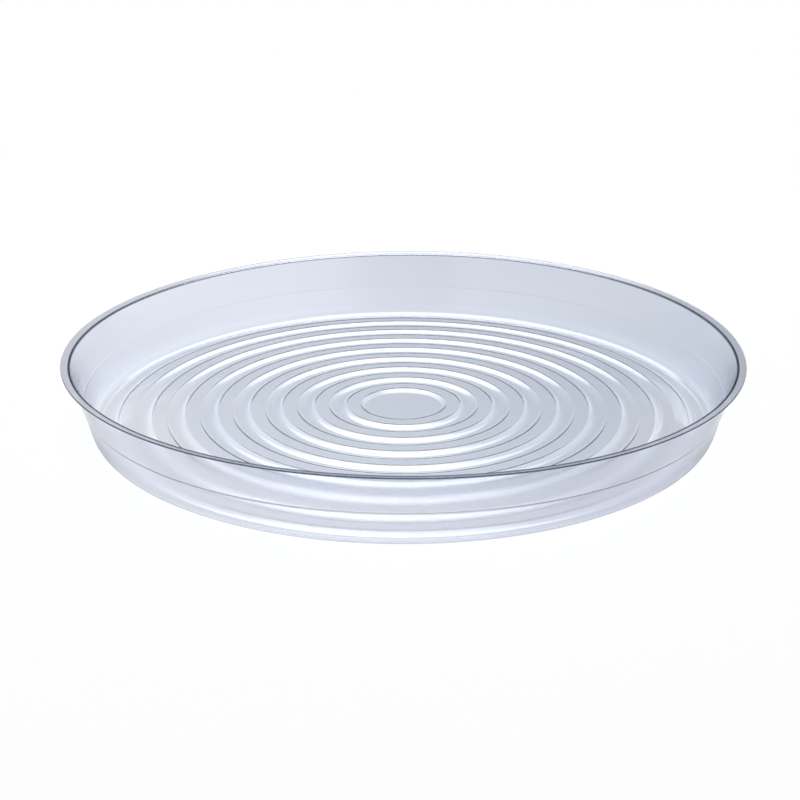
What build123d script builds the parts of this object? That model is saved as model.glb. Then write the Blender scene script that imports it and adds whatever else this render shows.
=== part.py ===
from math import atan, copysign, cos, floor, hypot, radians, tan
import os

from build123d import *

# Driving dimensions of the saucer, in millimetres, with leans in degrees from upright
rim_diameter = 406.4       # across the lip's outer edge
overall_height = 43.9      # from the table to the top of the lip
sheet_thickness = 0.8      # the clear sheet that the whole saucer is drawn from
tight_bend = 0.4           # radius on the inner side of each small bend
foot_bend = 6.6            # radius on the inner side of the bend between wall and floor
lip_width = 4.7            # flat lip around the wall's top
lip_rise = 0.95            # the lip tips up towards its outer edge
upper_wall_lean = 15.6     # wall above the ledge
lower_wall_lean = 13.0     # wall below the ledge
ledge_height = 20.4        # from the table to the stacking ledge half-way up the wall
ledge_step = 0.6           # how far the wall steps out at the ledge
centre_diameter = 52.8     # across the sunk centre, between the tops of the first ring
ring_width = 8.5           # flat top of each raised ring
groove_width = 11.25       # mouth of the groove between two rings
ring_rise = 1.7            # ring tops above the grooves

# Levels and radii of the middle of the sheet
half_sheet = sheet_thickness / 2
floor_level = half_sheet
ring_level = floor_level + ring_rise
rim_radius = rim_diameter / 2
rim_level = overall_height - half_sheet * hypot(lip_width, lip_rise) / lip_width
lip_radius = rim_radius - lip_width
lip_level = rim_level - lip_rise
ledge_top = ledge_height + ledge_step
ledge_outer = lip_radius - (lip_level - ledge_top) * tan(radians(upper_wall_lean))
ledge_inner = ledge_outer - ledge_step
foot_radius = ledge_inner - (ledge_height - floor_level) * tan(radians(lower_wall_lean))

# A groove is an arc that just reaches the table, a little flatter than a full one to leave room for its bends
slope_angle = 0.88 * 2 * atan(2 * ring_rise / groove_width)
side_run = ring_rise / tan(slope_angle)
groove_depth = groove_width / 2 * tan(slope_angle)
groove_bend = (groove_depth - ring_rise) / (1 / cos(slope_angle) - 1) - half_sheet

# As many rings as fit between the sunk centre and a last groove at the wall's foot
centre_radius = centre_diameter / 2
ring_pitch = ring_width + groove_width
ring_room = foot_radius - groove_width - ring_width - centre_radius
ring_count = floor(ring_room / ring_pitch) + 1


def sheet_corners():
    """Corners of the middle of the sheet, from the axis to the lip's edge, each with its inner bend radius."""
    corners = [(0, floor_level, 0), (centre_radius - side_run, floor_level, tight_bend)]
    for ring in range(ring_count):
        inner = centre_radius + ring * ring_pitch
        outer = inner + ring_width
        corners += [
            (inner, ring_level, tight_bend),
            (outer, ring_level, tight_bend),
            (outer + groove_width / 2, ring_level - groove_depth, groove_bend),
        ]

    # The last groove is flat from its one side to the wall's foot
    corners[-1] = (outer + side_run, floor_level, tight_bend)
    corners += [
        (foot_radius, floor_level, foot_bend),
        (ledge_inner, ledge_height, tight_bend),
        (ledge_outer, ledge_top, tight_bend),
        (lip_radius, lip_level, tight_bend),
        (rim_radius, rim_level, 0),
    ]
    return corners


def sheet_side(offset):
    """One face of the sheet: its corners moved by offset to the upper side, and the radius of each bend there."""
    corners = sheet_corners()
    points = [Vector(radius, level) for radius, level, bend in corners]
    bends = [bend + half_sheet for radius, level, bend in corners]
    runs = [(end - start).normalized() for start, end in zip(points, points[1:])]
    ups = [Vector(-run.Y, run.X) for run in runs]

    # The two ends are cut upright, on the axis and at the lip's edge
    moved = [points[0] + Vector(0, offset / runs[0].X)]
    radii = []
    for point, bend, before, after, up, next_up in zip(
        points[1:], bends[1:], runs, runs[1:], ups, ups[1:]
    ):
        moved.append(point + (up + next_up) * (offset / (1 + up.dot(next_up))))
        turn = before.cross(after).Z
        radii.append(bend - copysign(1, turn) * offset)
    moved.append(points[-1] + Vector(0, offset / runs[-1].X))
    return moved, radii


def draw_side(points, radii):
    """Lines along one face of the sheet, with an arc at each bend; its level lines stay exactly level."""
    start = points[0]
    for before, corner, after, radius in zip(points, points[1:], points[2:], radii):
        run_in = (corner - before).normalized()
        run_out = (after - corner).normalized()
        setback = radius * tan(radians(run_in.get_angle(run_out)) / 2)
        bend_start = corner - run_in * setback
        bend_end = corner + run_out * setback
        Line(start, bend_start)
        TangentArc(bend_start, bend_end, tangent=run_in)
        start = bend_end
    Line(start, points[-1])


def make_saucer():
    """The saucer: one drawn sheet of even thickness, turned about the upright axis."""
    upper_points, upper_radii = sheet_side(half_sheet)
    lower_points, lower_radii = sheet_side(-half_sheet)
    with BuildPart() as saucer:
        with BuildSketch(Plane.XZ):
            with BuildLine():
                draw_side(upper_points, upper_radii)
                draw_side(lower_points, lower_radii)
                Line(upper_points[0], lower_points[0])
                Line(upper_points[-1], lower_points[-1])
            make_face()
        revolve(axis=Axis.Z)
    return saucer.part


os.makedirs("parts", exist_ok=True)
export_step(make_saucer(), "parts/saucer.step")
print(f"{ring_count} rings at a pitch of {ring_pitch} mm, wall foot at radius {foot_radius:.2f} mm")
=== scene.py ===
# %% [markdown]
# # A clear plastic plant saucer
# The real saucer is one thin sheet of clear plastic, warmed until it is soft and then drawn into a mould.
# That is why it has nearly one thickness all over, soft bends, a leaning wall and rings that are folds of the
# sheet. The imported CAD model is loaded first, as a fixed frame in metres, so that the piece keeps its size.

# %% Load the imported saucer
import math

import bpy
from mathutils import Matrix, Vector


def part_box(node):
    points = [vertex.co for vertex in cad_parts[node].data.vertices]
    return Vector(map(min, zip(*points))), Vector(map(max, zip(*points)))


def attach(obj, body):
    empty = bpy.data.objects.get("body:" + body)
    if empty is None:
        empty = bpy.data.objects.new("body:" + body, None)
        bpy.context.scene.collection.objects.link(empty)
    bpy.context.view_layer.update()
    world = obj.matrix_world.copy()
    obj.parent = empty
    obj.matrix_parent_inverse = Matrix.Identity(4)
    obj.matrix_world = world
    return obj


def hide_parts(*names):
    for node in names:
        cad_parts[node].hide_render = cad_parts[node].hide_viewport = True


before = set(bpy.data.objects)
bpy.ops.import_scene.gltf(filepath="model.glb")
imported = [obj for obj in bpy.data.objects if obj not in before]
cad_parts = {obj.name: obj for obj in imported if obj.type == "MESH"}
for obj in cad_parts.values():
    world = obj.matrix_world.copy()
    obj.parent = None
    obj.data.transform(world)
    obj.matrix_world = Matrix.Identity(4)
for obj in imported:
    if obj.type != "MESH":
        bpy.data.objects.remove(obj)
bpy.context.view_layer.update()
lowest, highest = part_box("saucer")
rim_radius = (highest[0] - lowest[0]) / 2
rim_height = highest[2] - lowest[2]
print(f"saucer {2 * rim_radius:.4f} m across the rim and {rim_height:.4f} m high")

# %% [markdown]
# ## The camera
# A perspective fit to the rim and the rings gives where the photograph was taken from: about two rim
# widths away and 21 degrees above the table. A small shift sets the saucer where the picture has it.

# %% Camera
MM = 0.001
FRAME_PIXELS = 800
ring_top_level = 2.8 * MM
camera_distance = 4.056 * rim_radius
camera_elevation = math.radians(21.44)
aim_right, aim_down = 3.5, 2.4

camera_data = bpy.data.cameras.new("camera")
camera_data.lens = 59.85
camera_data.sensor_width = 36.0
camera_data.shift_x = -aim_right / FRAME_PIXELS
camera_data.shift_y = aim_down / FRAME_PIXELS
camera_data.clip_end = 50.0
camera = bpy.data.objects.new("camera", camera_data)
camera.location = (
    0.0,
    -camera_distance * math.cos(camera_elevation),
    camera_distance * math.sin(camera_elevation) + ring_top_level,
)
camera.rotation_euler = (math.pi / 2 - camera_elevation, 0.0, 0.0)
scene = bpy.context.scene
scene.collection.objects.link(camera)
scene.camera = camera
print("camera at", [round(v, 4) for v in camera.location])

# %% [markdown]
# ## Writing node trees as sums
# A node tree is easier to read as a formula. A Wire is one socket: adding or multiplying two of them adds a
# Math node. Every other node comes from one method of the Bench, which takes its type, settings and sockets.

# %% A wire
class Wire:
    """A socket that carries a value, so that a sum on it adds a Math node to its tree."""

    def __init__(self, socket):
        self.socket = socket

    def maths(self, operation, *values):
        """A Math node on these values, each of them a number or another wire."""
        return Bench(self.socket.id_data).add(
            "ShaderNodeMath", {"operation": operation}, dict(enumerate(values))
        )

    def __add__(self, other):
        return self.maths("ADD", self, other)

    def __radd__(self, other):
        return self.maths("ADD", other, self)

    def __sub__(self, other):
        return self.maths("SUBTRACT", self, other)

    def __rsub__(self, other):
        return self.maths("SUBTRACT", other, self)

    def __mul__(self, other):
        return self.maths("MULTIPLY", self, other)

    def __rmul__(self, other):
        return self.maths("MULTIPLY", other, self)

    def __truediv__(self, other):
        return self.maths("DIVIDE", self, other)

    def __rtruediv__(self, other):
        return self.maths("DIVIDE", other, self)

    def __pow__(self, other):
        return self.maths("POWER", self, other)

    def __gt__(self, other):
        return self.maths("GREATER_THAN", self, other)

    def __lt__(self, other):
        return self.maths("LESS_THAN", self, other)

    def whole(self):
        """The whole number at or below the value."""
        return self.maths("FLOOR", self)

    def __getitem__(self, name):
        """Another output of the same node."""
        return Wire(self.socket.node.outputs[name])


# %% The bench that nodes are put on
class Bench:
    """A node tree that is filled one node at a time."""

    def __init__(self, tree):
        self.tree = tree

    def add(self, kind, settings=None, sockets=None):
        """A node of this type: its settings are made first, then each socket gets its value or its wire."""
        node = self.tree.nodes.new(kind)
        for name, value in (settings or {}).items():
            if name == "choices":
                while len(node.index_switch_items) < value:
                    node.index_switch_items.new()
            else:
                setattr(node, name, value)
        for key, value in (sockets or {}).items():
            if isinstance(key, int):
                place = node.inputs[key]
            else:
                place = next(s for s in node.inputs if s.enabled and s.name == key)
            if isinstance(value, Wire):
                self.tree.links.new(value.socket, place)
            else:
                place.default_value = value
        return Wire(next((s for s in node.outputs if s.enabled), None))


# %% [markdown]
# ## The drawn sheet
# Seen in section, the saucer is one line: a sunk centre, rings and grooves, the foot, the wall with its
# ledge, and the lip. The line could be drawn by hand and spun, but it follows a rule, so Geometry Nodes build
# it: a row of corner points placed by their number, each corner rounded, and the line turned round the axis.

# %% Sizes of the sheet
ring_width, groove_width, ring_rise = 8.5 * MM, 11.25 * MM, 1.7 * MM
# a groove is an arc that just touches the table, a little flatter than a full one, to leave room for bends
ARC_SHARE = 0.88
groove_lean = ARC_SHARE * 2 * math.atan(2 * ring_rise / groove_width)
groove_bend = (groove_width / 2 * math.tan(groove_lean) - ring_rise) / (1 / math.cos(groove_lean) - 1)
sheet_sizes = {
    "Rim Radius": rim_radius,
    "Height": rim_height,
    "Sheet": 0.8 * MM,
    "Lip Width": 4.7 * MM,
    "Lip Rise": 0.95 * MM,
    "Upper Slope": math.tan(math.radians(15.6)),
    "Lower Slope": math.tan(math.radians(13.0)),
    "Ledge Height": 20.4 * MM,
    "Ledge Step": 0.45 * MM,
    "Ledge Rise": 0.6 * MM,
    "Ledge Bend": 2.4 * MM,
    "Foot Bend": 7.0 * MM,
    "Centre Radius": 26.4 * MM,
    "Ring Width": ring_width,
    "Ring Rise": ring_rise,
    "Ring Bend": 1.2 * MM,
    "Groove Width": groove_width,
    "Groove Slope": math.tan(groove_lean),
    "Groove Bend": groove_bend,
    "Warp": 1.0 * MM,
    "Skew Warp": 0.7 * MM,
    "Tilt Warp": 0.2 * MM,
}
sheet_counts = {"Rings": 8, "Bend Points": 5, "Turn Steps": 180}
print("sizes named for the sheet:", len(sheet_sizes) + len(sheet_counts))

# %% Inputs of the tree
sheet_tree = bpy.data.node_groups.new("drawn_sheet", "GeometryNodeTree")
sheet_inputs = {}
for name, kind in (
    [(name, "NodeSocketFloat") for name in sheet_sizes]
    + [(name, "NodeSocketInt") for name in sheet_counts]
    + [("Material", "NodeSocketMaterial")]
):
    socket = sheet_tree.interface.new_socket(name=name, in_out="INPUT", socket_type=kind)
    sheet_inputs[name] = socket.identifier
sheet_tree.interface.new_socket(name="Geometry", in_out="OUTPUT", socket_type="NodeSocketGeometry")
print("tree with", len(sheet_inputs), "inputs")

# %% Levels and radii that follow from the sizes
bench = Bench(sheet_tree)
size = bench.add("NodeGroupInput")
half_sheet = size["Sheet"] / 2
rim_level = size["Height"] - half_sheet
lip_radius = size["Rim Radius"] - size["Lip Width"]
lip_level = rim_level - size["Lip Rise"]
ledge_top = size["Ledge Height"] + size["Ledge Rise"]
ledge_outer = lip_radius - (lip_level - ledge_top) * size["Upper Slope"]
ledge_inner = ledge_outer - size["Ledge Step"]
foot_radius = ledge_inner - (size["Ledge Height"] - half_sheet) * size["Lower Slope"]
ring_level = half_sheet + size["Ring Rise"]
side_run = size["Ring Rise"] / size["Groove Slope"]
half_groove = size["Groove Width"] / 2
print("levels and radii worked out by", len(sheet_tree.nodes), "nodes")

# %% Where each numbered corner belongs
CORNERS_PER_RING, FLOOR_CORNERS, WALL_CORNERS = 3, 2, 5
number = bench.add("GeometryNodeInputIndex")
ring = ((number - FLOOR_CORNERS) / CORNERS_PER_RING).whole()
step = number - FLOOR_CORNERS - ring * CORNERS_PER_RING
wall_step = number - FLOOR_CORNERS - size["Rings"] * CORNERS_PER_RING
ring_inner = size["Centre Radius"] + ring * (size["Ring Width"] + size["Groove Width"])
ring_outer = ring_inner + size["Ring Width"]
# whole numbers are told apart half-way between them
last = ring > size["Rings"] - 1.5
on_wall = wall_step > -0.5
on_floor = number < FLOOR_CORNERS - 0.5


def pick(which, values):
    """The value whose place in the list is the given number."""
    sockets = {"Index": which}
    sockets.update({str(place): value for place, value in enumerate(values)})
    return bench.add("GeometryNodeIndexSwitch", {"data_type": "FLOAT", "choices": len(values)}, sockets)


def choose(test, no, yes):
    """One of two values, by a test that is 0 or 1."""
    sockets = {"Switch": test, "False": no, "True": yes}
    return bench.add("GeometryNodeSwitch", {"input_type": "FLOAT"}, sockets)


def along_sheet(floor_values, ring_values, wall_values):
    """A value for each corner: on the sunk centre, then on the rings, then up the wall."""
    rest = choose(on_wall, pick(step, ring_values), pick(wall_step, wall_values))
    return choose(on_floor, rest, pick(number, floor_values))


# %% Radius, level and bend of each corner
corner_radius = along_sheet(
    [0.0, size["Centre Radius"] - side_run],
    [ring_inner, ring_outer, ring_outer + choose(last, half_groove, side_run)],
    [foot_radius, ledge_inner, ledge_outer, lip_radius, size["Rim Radius"]],
)
corner_level = along_sheet(
    [half_sheet, half_sheet],
    [ring_level, ring_level, choose(last, ring_level - half_groove * size["Groove Slope"], half_sheet)],
    [half_sheet, size["Ledge Height"], ledge_top, lip_level, rim_level],
)
# the crease between wall and lip stays sharp
corner_bend = along_sheet(
    [0.0, size["Ring Bend"]],
    [size["Ring Bend"], size["Ring Bend"], choose(last, size["Groove Bend"], size["Foot Bend"])],
    [size["Foot Bend"], size["Ledge Bend"], size["Ledge Bend"], 0.0, 0.0],
)
print("corner rule made of", len(sheet_tree.nodes), "nodes")

# %% [markdown]
# ## Turning the sheet
# The rounded line is swept round a circle, which is what a lathe does. The lip of a real saucer is never
# quite level, because thin plastic twists as it cools: here front and back stand up about a millimetre, the
# sides sink, both a little askew, and the whole lip tips slightly down towards the front.

# %% Round the corners and turn the line
WIDE_BEND, WELD = 3 * MM, 0.002 * MM
corner_count = size["Rings"] * CORNERS_PER_RING + FLOOR_CORNERS + WALL_CORNERS
line = bench.add("GeometryNodeMeshLine", None, {"Count": corner_count})
place = bench.add(
    "ShaderNodeCombineXYZ", None, {"X": corner_radius - size["Rim Radius"], "Y": 0 - corner_level}
)
line = bench.add("GeometryNodeSetPosition", None, {"Geometry": line, "Position": place})
line = bench.add(
    "GeometryNodeStoreNamedAttribute",
    {"data_type": "FLOAT", "domain": "POINT"},
    {"Geometry": line, "Name": "bend", "Value": corner_bend},
)
line = bench.add("GeometryNodeMeshToCurve", None, {"Mesh": line})
bend = bench.add("GeometryNodeInputNamedAttribute", {"data_type": "FLOAT"}, {"Name": "bend"})
points = size["Bend Points"] * (1 + (bend > WIDE_BEND))
line = bench.add(
    "GeometryNodeFilletCurve",
    {"mode": "POLY"},
    {"Curve": line, "Count": points, "Radius": bend, "Limit Radius": True},
)
circle = bench.add(
    "GeometryNodeCurvePrimitiveCircle",
    {"mode": "RADIUS"},
    {"Resolution": size["Turn Steps"], "Radius": size["Rim Radius"]},
)
turned = bench.add("GeometryNodeCurveToMesh", None, {"Curve": circle, "Profile Curve": line})
turned = bench.add("GeometryNodeMergeByDistance", None, {"Geometry": turned, "Distance": WELD})
print("rounded and turned by", len(sheet_tree.nodes), "nodes")


# %% Twist the lip and end the tree
def twist_lift(x, y, z, sizes):
    """How far the twist lifts a point of the sheet: most at the lip, and nothing at the table."""
    saddle = (y * y - x * x) * sizes["Warp"] + 2 * x * y * sizes["Skew Warp"]
    saddle = saddle + y * sizes["Rim Radius"] * sizes["Tilt Warp"]
    return saddle * (z / sizes["Height"]) ** 2 / (sizes["Rim Radius"] * sizes["Rim Radius"])


spot = bench.add("ShaderNodeSeparateXYZ", None, {"Vector": bench.add("GeometryNodeInputPosition")})
offset = bench.add("ShaderNodeCombineXYZ", None, {"Z": twist_lift(spot["X"], spot["Y"], spot["Z"], size)})
turned = bench.add("GeometryNodeSetPosition", None, {"Geometry": turned, "Offset": offset})
turned = bench.add("GeometryNodeSetShadeSmooth", None, {"Geometry": turned, "Shade Smooth": True})
turned = bench.add("GeometryNodeRealizeInstances", None, {"Geometry": turned})
turned = bench.add("GeometryNodeSetMaterial", None, {"Geometry": turned, "Material": size["Material"]})
bench.add("NodeGroupOutput", None, {"Geometry": turned})
print("whole tree made of", len(sheet_tree.nodes), "nodes")

# %% [markdown]
# ## Clear plastic
# The plastic is glossy and nearly clear. Its faint blue lies inside the sheet, where light is taken up along
# its way; the floor seen through it is painted blue-grey as well. The crease under the lip and the trimmed
# edge look dark, because light runs along the sheet there and hardly any comes out, and the material adds
# painted shade there as a dark tint on those two lines. Drawing leaves the wall a little hazy and never
# perfectly flat.

# %% Where a point lies on the sheet
plastic = bpy.data.materials.new("clear_plastic")
plastic.use_nodes = True
plastic.node_tree.nodes.clear()
bench = Bench(plastic.node_tree)
spot = bench.add("ShaderNodeTexCoord")["Object"]
axes = bench.add("ShaderNodeSeparateXYZ", None, {"Vector": spot})
radius = (axes["X"] * axes["X"] + axes["Y"] * axes["Y"]) ** 0.5
level = axes["Z"] - twist_lift(axes["X"], axes["Y"], axes["Z"], sheet_sizes)


def rise(value, start, end):
    """0 below start and 1 above end."""
    return Bench(value.socket.id_data).add(
        "ShaderNodeMapRange",
        {"interpolation_type": "SMOOTHSTEP"},
        {"Value": value, "From Min": start, "From Max": end},
    )


# 0 on the rings and 1 up the wall, then 0 on the wall and 1 on the lip
drawn = rise(axes["Z"], 2.5 * MM, 12 * MM)
on_lip = rise(radius, rim_radius - 8 * MM, rim_radius - 5 * MM)

# %% Painted shade in the crease and on the trimmed edge
edge_level = sheet_sizes["Height"] - sheet_sizes["Sheet"] / 2
crease_radius = rim_radius - sheet_sizes["Lip Width"]
crease_level = edge_level - sheet_sizes["Lip Rise"]
CREASE_REACH, CREASE_END, FRONT_EXTRA = 0.85 * MM, 1.05 * MM, 0.05 * MM
from_crease = ((radius - crease_radius) ** 2 + (level - crease_level) ** 2) ** 0.5
# the painted crease shade is a little wider and darker towards the front
front = 1 - rise(axes["Y"], -0.19, -0.1)
crease_shade_amount = 0.8 - 0.2 / rim_radius * axes["Y"]
# painted shade: a dark tint over the crease under the lip, stronger towards the front
painted_crease_shade = (1 - rise(from_crease - FRONT_EXTRA * front, CREASE_REACH, CREASE_END)) * crease_shade_amount
below = 1 - rise(level, edge_level - 0.05 * MM, edge_level + 0.15 * MM)
# painted shade: a dark tint on the trimmed edge; the same mask also makes the edge rougher
rough_and_shaded_edge = rise(radius, rim_radius - 0.25 * MM, rim_radius - 0.15 * MM) * below
print(f"crease at radius {crease_radius:.4f} m and level {crease_level:.4f} m")


# %% Colour, gloss and ripple
def blend(part, first, second):
    """A colour between two others."""
    return Bench(part.socket.id_data).add(
        "ShaderNodeMix", {"data_type": "RGBA"}, {"Factor": part, "A": first, "B": second}
    )


FLOOR_TINT, WALL_TINT = (0.98, 0.99, 1.0, 1.0), (0.985, 0.99, 1.0, 1.0)
WAVE_TINT, WAVE_SHARE = (0.95, 0.965, 0.99, 1.0), 0.3
# painted shade colours for the trimmed edge and the crease under the lip
EDGE_PAINTED_SHADE, CREASE_PAINTED_SHADE = (0.42, 0.44, 0.52, 1.0), (0.07, 0.078, 0.12, 1.0)
SMOOTH, SPECK_HAZE, WALL_HAZE, EDGE_HAZE = 0.035, 0.03, 0.08, 0.2
SPECK_HEIGHT, RIPPLE_DEPTH, RIPPLE_STRENGTH = 0.02, 0.4 * MM, 0.2
waves = bench.add("ShaderNodeTexNoise", None, {"Vector": spot, "Scale": 28.0, "Detail": 1.0})["Fac"]
specks = bench.add("ShaderNodeTexNoise", None, {"Vector": spot, "Scale": 420.0, "Detail": 2.0})["Fac"]
tint_and_painted_shade = blend(drawn, FLOOR_TINT, WALL_TINT)
tint_and_painted_shade = blend(WAVE_SHARE * waves, tint_and_painted_shade, WAVE_TINT)
# painted shade: the trimmed edge and the crease under the lip are darkened in the colour
tint_and_painted_shade = blend(rough_and_shaded_edge, tint_and_painted_shade, EDGE_PAINTED_SHADE)
tint_and_painted_shade = blend(painted_crease_shade, tint_and_painted_shade, CREASE_PAINTED_SHADE)
gloss = SMOOTH + SPECK_HAZE * specks + WALL_HAZE * drawn * (1 - on_lip) + EDGE_HAZE * rough_and_shaded_edge
height = (waves + SPECK_HEIGHT * specks) * (1 - on_lip)
ripple = bench.add(
    "ShaderNodeBump", None, {"Strength": RIPPLE_STRENGTH, "Distance": RIPPLE_DEPTH, "Height": height}
)

# %% Shader
PLASTIC_IOR, INSIDE_DENSITY = 1.52, 75.0
SHADOW_TINT, INSIDE_TINT = (0.85, 0.88, 0.93, 1.0), (0.06, 0.15, 0.70, 1.0)
shell = bench.add(
    "ShaderNodeBsdfPrincipled",
    None,
    {
        "Base Color": tint_and_painted_shade,
        "Roughness": gloss,
        "IOR": PLASTIC_IOR,
        "Transmission Weight": 1.0,
        "Normal": ripple,
    },
)
# lamp light goes straight through the sheet, so that its shadow stays pale
clear = bench.add("ShaderNodeBsdfTransparent", None, {"Color": SHADOW_TINT})
to_lamp = bench.add("ShaderNodeLightPath")["Is Shadow Ray"]
surface = bench.add("ShaderNodeMixShader", None, {0: to_lamp, 1: shell, 2: clear})
inside = bench.add("ShaderNodeVolumeAbsorption", None, {"Color": INSIDE_TINT, "Density": INSIDE_DENSITY})
bench.add("ShaderNodeOutputMaterial", None, {"Surface": surface, "Volume": inside})
print("clear plastic made of", len(plastic.node_tree.nodes), "nodes")

# %% [markdown]
# ## The finished piece
# The tree gives the middle of the sheet, a skin with no thickness. Solidify gives it the sheet's thickness to
# both sides, Bevel rounds the trimmed edge, and weighted normals keep the flat rings flat in the gloss right
# up to their bends.

# %% Make the saucer
saucer = bpy.data.objects.new("clear_saucer", bpy.data.meshes.new("clear_saucer"))
scene.collection.objects.link(saucer)


def apply_modifiers():
    """Put the mesh that the modifiers make in place of the saucer's own."""
    graph = bpy.context.evaluated_depsgraph_get()
    mesh = bpy.data.meshes.new_from_object(saucer.evaluated_get(graph), depsgraph=graph)
    saucer.modifiers.clear()
    saucer.data = mesh
    mesh.name = "clear_saucer"
    return mesh


shape = saucer.modifiers.new("drawn_sheet", "NODES")
shape.node_group = sheet_tree
for name, value in {**sheet_sizes, **sheet_counts, "Material": plastic}.items():
    shape[sheet_inputs[name]] = value
thick = saucer.modifiers.new("thickness", "SOLIDIFY")
thick.thickness = sheet_sizes["Sheet"]
thick.offset = 0.0
thick.use_even_offset = True
thick.use_quality_normals = True
round_edge = saucer.modifiers.new("round_edge", "BEVEL")
round_edge.limit_method = "ANGLE"
round_edge.angle_limit = math.radians(75)
round_edge.width = 0.3 * MM
round_edge.segments = 4
mesh = apply_modifiers()
mesh.set_sharp_from_angle(angle=math.radians(20))
weigh = saucer.modifiers.new("weighted_normals", "WEIGHTED_NORMAL")
weigh.keep_sharp = True
mesh = apply_modifiers()

# %% Measure the saucer and set it on the frame
triangles = sum(len(face.vertices) - 2 for face in mesh.polygons)
corners = [vertex.co for vertex in mesh.vertices]
print("saucer mesh:", len(corners), "points,", triangles, "triangles")
for end, pick_end in {"low": min, "high": max}.items():
    print(end, [round(pick_end(corner[axis] for corner in corners), 5) for axis in range(3)])
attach(saucer, "root")
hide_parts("saucer")

# %% [markdown]
# ## The floor
# The saucer stands on a plain white floor, which the camera sees as white with the saucer's pale shadow on
# it. Seen through the plastic, the floor is less bright: its level falls off from left to right and is
# higher towards the front, as in the photograph. In the gloss, it is dimmer under the saucer than around it.

# %% Floor
HALF_FLOOR, FLOOR_DROP = 6.0, 0.3 * MM
floor_mesh = bpy.data.meshes.new("floor")
ends = [(-1, -1), (1, -1), (1, 1), (-1, 1)]
floor_mesh.from_pydata([(HALF_FLOOR * x, HALF_FLOOR * y, 0) for x, y in ends], [], [(0, 1, 2, 3)])
floor = bpy.data.objects.new("floor", floor_mesh)
floor.location.z = -FLOOR_DROP
scene.collection.objects.link(floor)
print("floor", 2 * HALF_FLOOR, "m wide")

# %% What is seen of the floor through the plastic and in its gloss
WHITE = (1.0, 1.0, 1.0, 1.0)
# painted light and shade: seen through the plastic, the floor's glow is dimmed and blue-grey, falls off from
# left to right and is brighter towards the front
UNDER_LIT_LEFT, UNDER_SHADED_RIGHT = (0.87, 0.92, 0.985, 1.0), (0.62, 0.685, 0.765, 1.0)
FRONT_LIT_LEFT, FRONT_SHADED_RIGHT = (0.97, 0.985, 1.0, 1.0), (0.68, 0.725, 0.785, 1.0)
AROUND_LIT_LEFT, AROUND_SHADED_RIGHT = (0.815, 0.84, 0.89, 1.0), (0.56, 0.605, 0.66, 1.0)
GLOSS_PAINTED_SHADOW, GLOSS_AROUND = (0.6, 0.62, 0.66, 1.0), (0.95, 0.96, 0.98, 1.0)
paper = bpy.data.materials.new("white_paper")
paper.use_nodes = True
paper.node_tree.nodes.clear()
bench = Bench(paper.node_tree)
spot = bench.add("ShaderNodeTexCoord")["Object"]
axes = bench.add("ShaderNodeSeparateXYZ", None, {"Vector": spot})
centre = bench.add("ShaderNodeVectorMath", {"operation": "LENGTH"}, {"Vector": spot})["Value"]
fall = bench.add("ShaderNodeMapRange", None, {"Value": axes["X"], "From Min": -0.1, "From Max": 0.3})
front = (1 - rise(axes["Y"], -0.03, 0.06)) * rise(centre, 0.12, 0.15)
under = blend(fall, UNDER_LIT_LEFT, UNDER_SHADED_RIGHT)
under = blend(front, under, blend(fall, FRONT_LIT_LEFT, FRONT_SHADED_RIGHT))
around = blend(fall, AROUND_LIT_LEFT, AROUND_SHADED_RIGHT)
seen_through_painted_light = blend(rise(centre, 0.19, 0.22), under, around)
# painted shadow: in the gloss the floor's glow is darker under the saucer than around it
in_gloss_painted_shadow = blend(rise(centre, 0.19, 0.2), GLOSS_PAINTED_SHADOW, GLOSS_AROUND)

# %% Paper material
PAPER, NEAR_SHARE, FAR_EXTRA = (0.93, 0.93, 0.93, 1.0), 0.9, 0.1
ray = bench.add("ShaderNodeLightPath")
direct = ray["Is Camera Ray"]
by_plastic = (ray["Is Glossy Ray"] + ray["Is Transmission Ray"]) > 0.5
shade = blend(direct, blend(ray["Is Transmission Ray"], in_gloss_painted_shadow, seen_through_painted_light), WHITE)
matt = bench.add("ShaderNodeBsdfDiffuse", None, {"Color": PAPER})
glow = bench.add("ShaderNodeEmission", None, {"Color": shade, "Strength": 1.0})
# near the saucer a tenth of the paper is matt, and it carries the shadow
share = direct * (NEAR_SHARE + FAR_EXTRA * rise(centre, 0.4, 1.0)) + by_plastic * (1 - direct)
mixed = bench.add("ShaderNodeMixShader", None, {0: share, 1: matt, 2: glow})
bench.add("ShaderNodeOutputMaterial", None, {"Surface": mixed})
floor_mesh.materials.append(paper)
print("white paper made of", len(paper.node_tree.nodes), "nodes")

# %% [markdown]
# ## Room and lamp
# The room is white to the camera. For the plastic it is pale near the ground, dim higher up and brighter at
# the two sides, which gives the bends their dark lines. A soft lamp above and behind gives the white glints.

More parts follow.
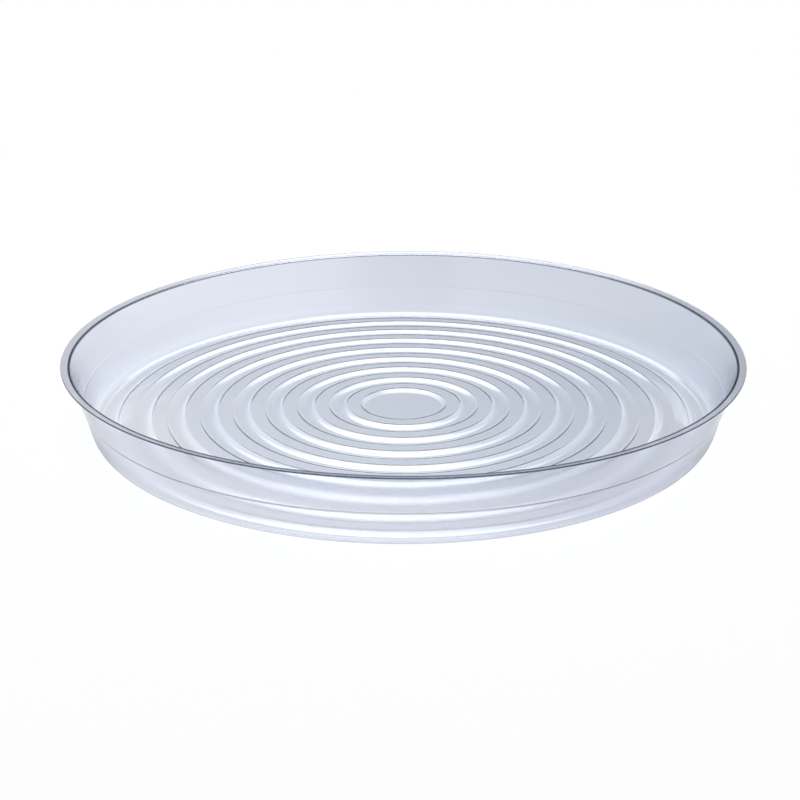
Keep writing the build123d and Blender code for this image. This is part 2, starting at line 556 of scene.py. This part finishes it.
# %% Room
ROOM_TINT = (0.86, 0.91, 1.0, 1.0)
GROUND_LEVEL, DIMMING, SIDE_EXTRA = 0.55, 0.43, 0.6
world = bpy.data.worlds.new("white_room")
scene.world = world
world.use_nodes = True
world.node_tree.nodes.clear()
bench = Bench(world.node_tree)
direct = bench.add("ShaderNodeLightPath")["Is Camera Ray"]
way = bench.add("ShaderNodeSeparateXYZ", None, {"Vector": bench.add("ShaderNodeTexCoord")["Generated"]})
sides = rise(way["X"] * way["X"], 0.02, 0.2) * (1 - rise(way["Z"], 0.5, 0.8))
low = GROUND_LEVEL - DIMMING * rise(way["Z"], 0.16, 0.28) + SIDE_EXTRA * sides
back = bench.add(
    "ShaderNodeBackground",
    None,
    {"Color": blend(direct, ROOM_TINT, WHITE), "Strength": direct + low * (1 - direct)},
)
bench.add("ShaderNodeOutputWorld", None, {"Surface": back})
print("white room made of", len(world.node_tree.nodes), "nodes")

# %% Lamp
LAMP_WIDTH, LAMP_DEPTH, LAMP_WATTS = 1.3, 1.8, 24.0
LAMP_PEAK, FADE_POWER = 1.5, 0.7
lamp_x, lamp_distance, lamp_elevation = -0.1, 1.3, math.radians(66)
lamp_data = bpy.data.lights.new("softbox", "AREA")
lamp_data.shape = "RECTANGLE"
lamp_data.size, lamp_data.size_y = LAMP_WIDTH, LAMP_DEPTH
lamp_data.energy = LAMP_WATTS
lamp_data.use_nodes = True
lamp_data.node_tree.nodes.clear()
bench = Bench(lamp_data.node_tree)
place = bench.add("ShaderNodeSeparateXYZ", None, {"Vector": bench.add("ShaderNodeNewGeometry")["Parametric"]})


def fade(value):
    """Full in the middle of the softbox and dim at its two ends."""
    return (4 * value * (1 - value)) ** FADE_POWER


light = bench.add("ShaderNodeEmission", None, {"Strength": LAMP_PEAK * fade(place["X"]) * fade(place["Y"])})
bench.add("ShaderNodeOutputLight", None, {"Surface": light})
lamp = bpy.data.objects.new("softbox", lamp_data)
lamp.location = (
    lamp_x,
    lamp_distance * math.cos(lamp_elevation),
    lamp_distance * math.sin(lamp_elevation),
)
lamp.rotation_euler = (lamp_elevation - math.pi / 2, 0.0, 0.0)
scene.collection.objects.link(lamp)
scene.view_settings.view_transform = "Standard"
print("softbox at", [round(v, 4) for v in lamp.location])
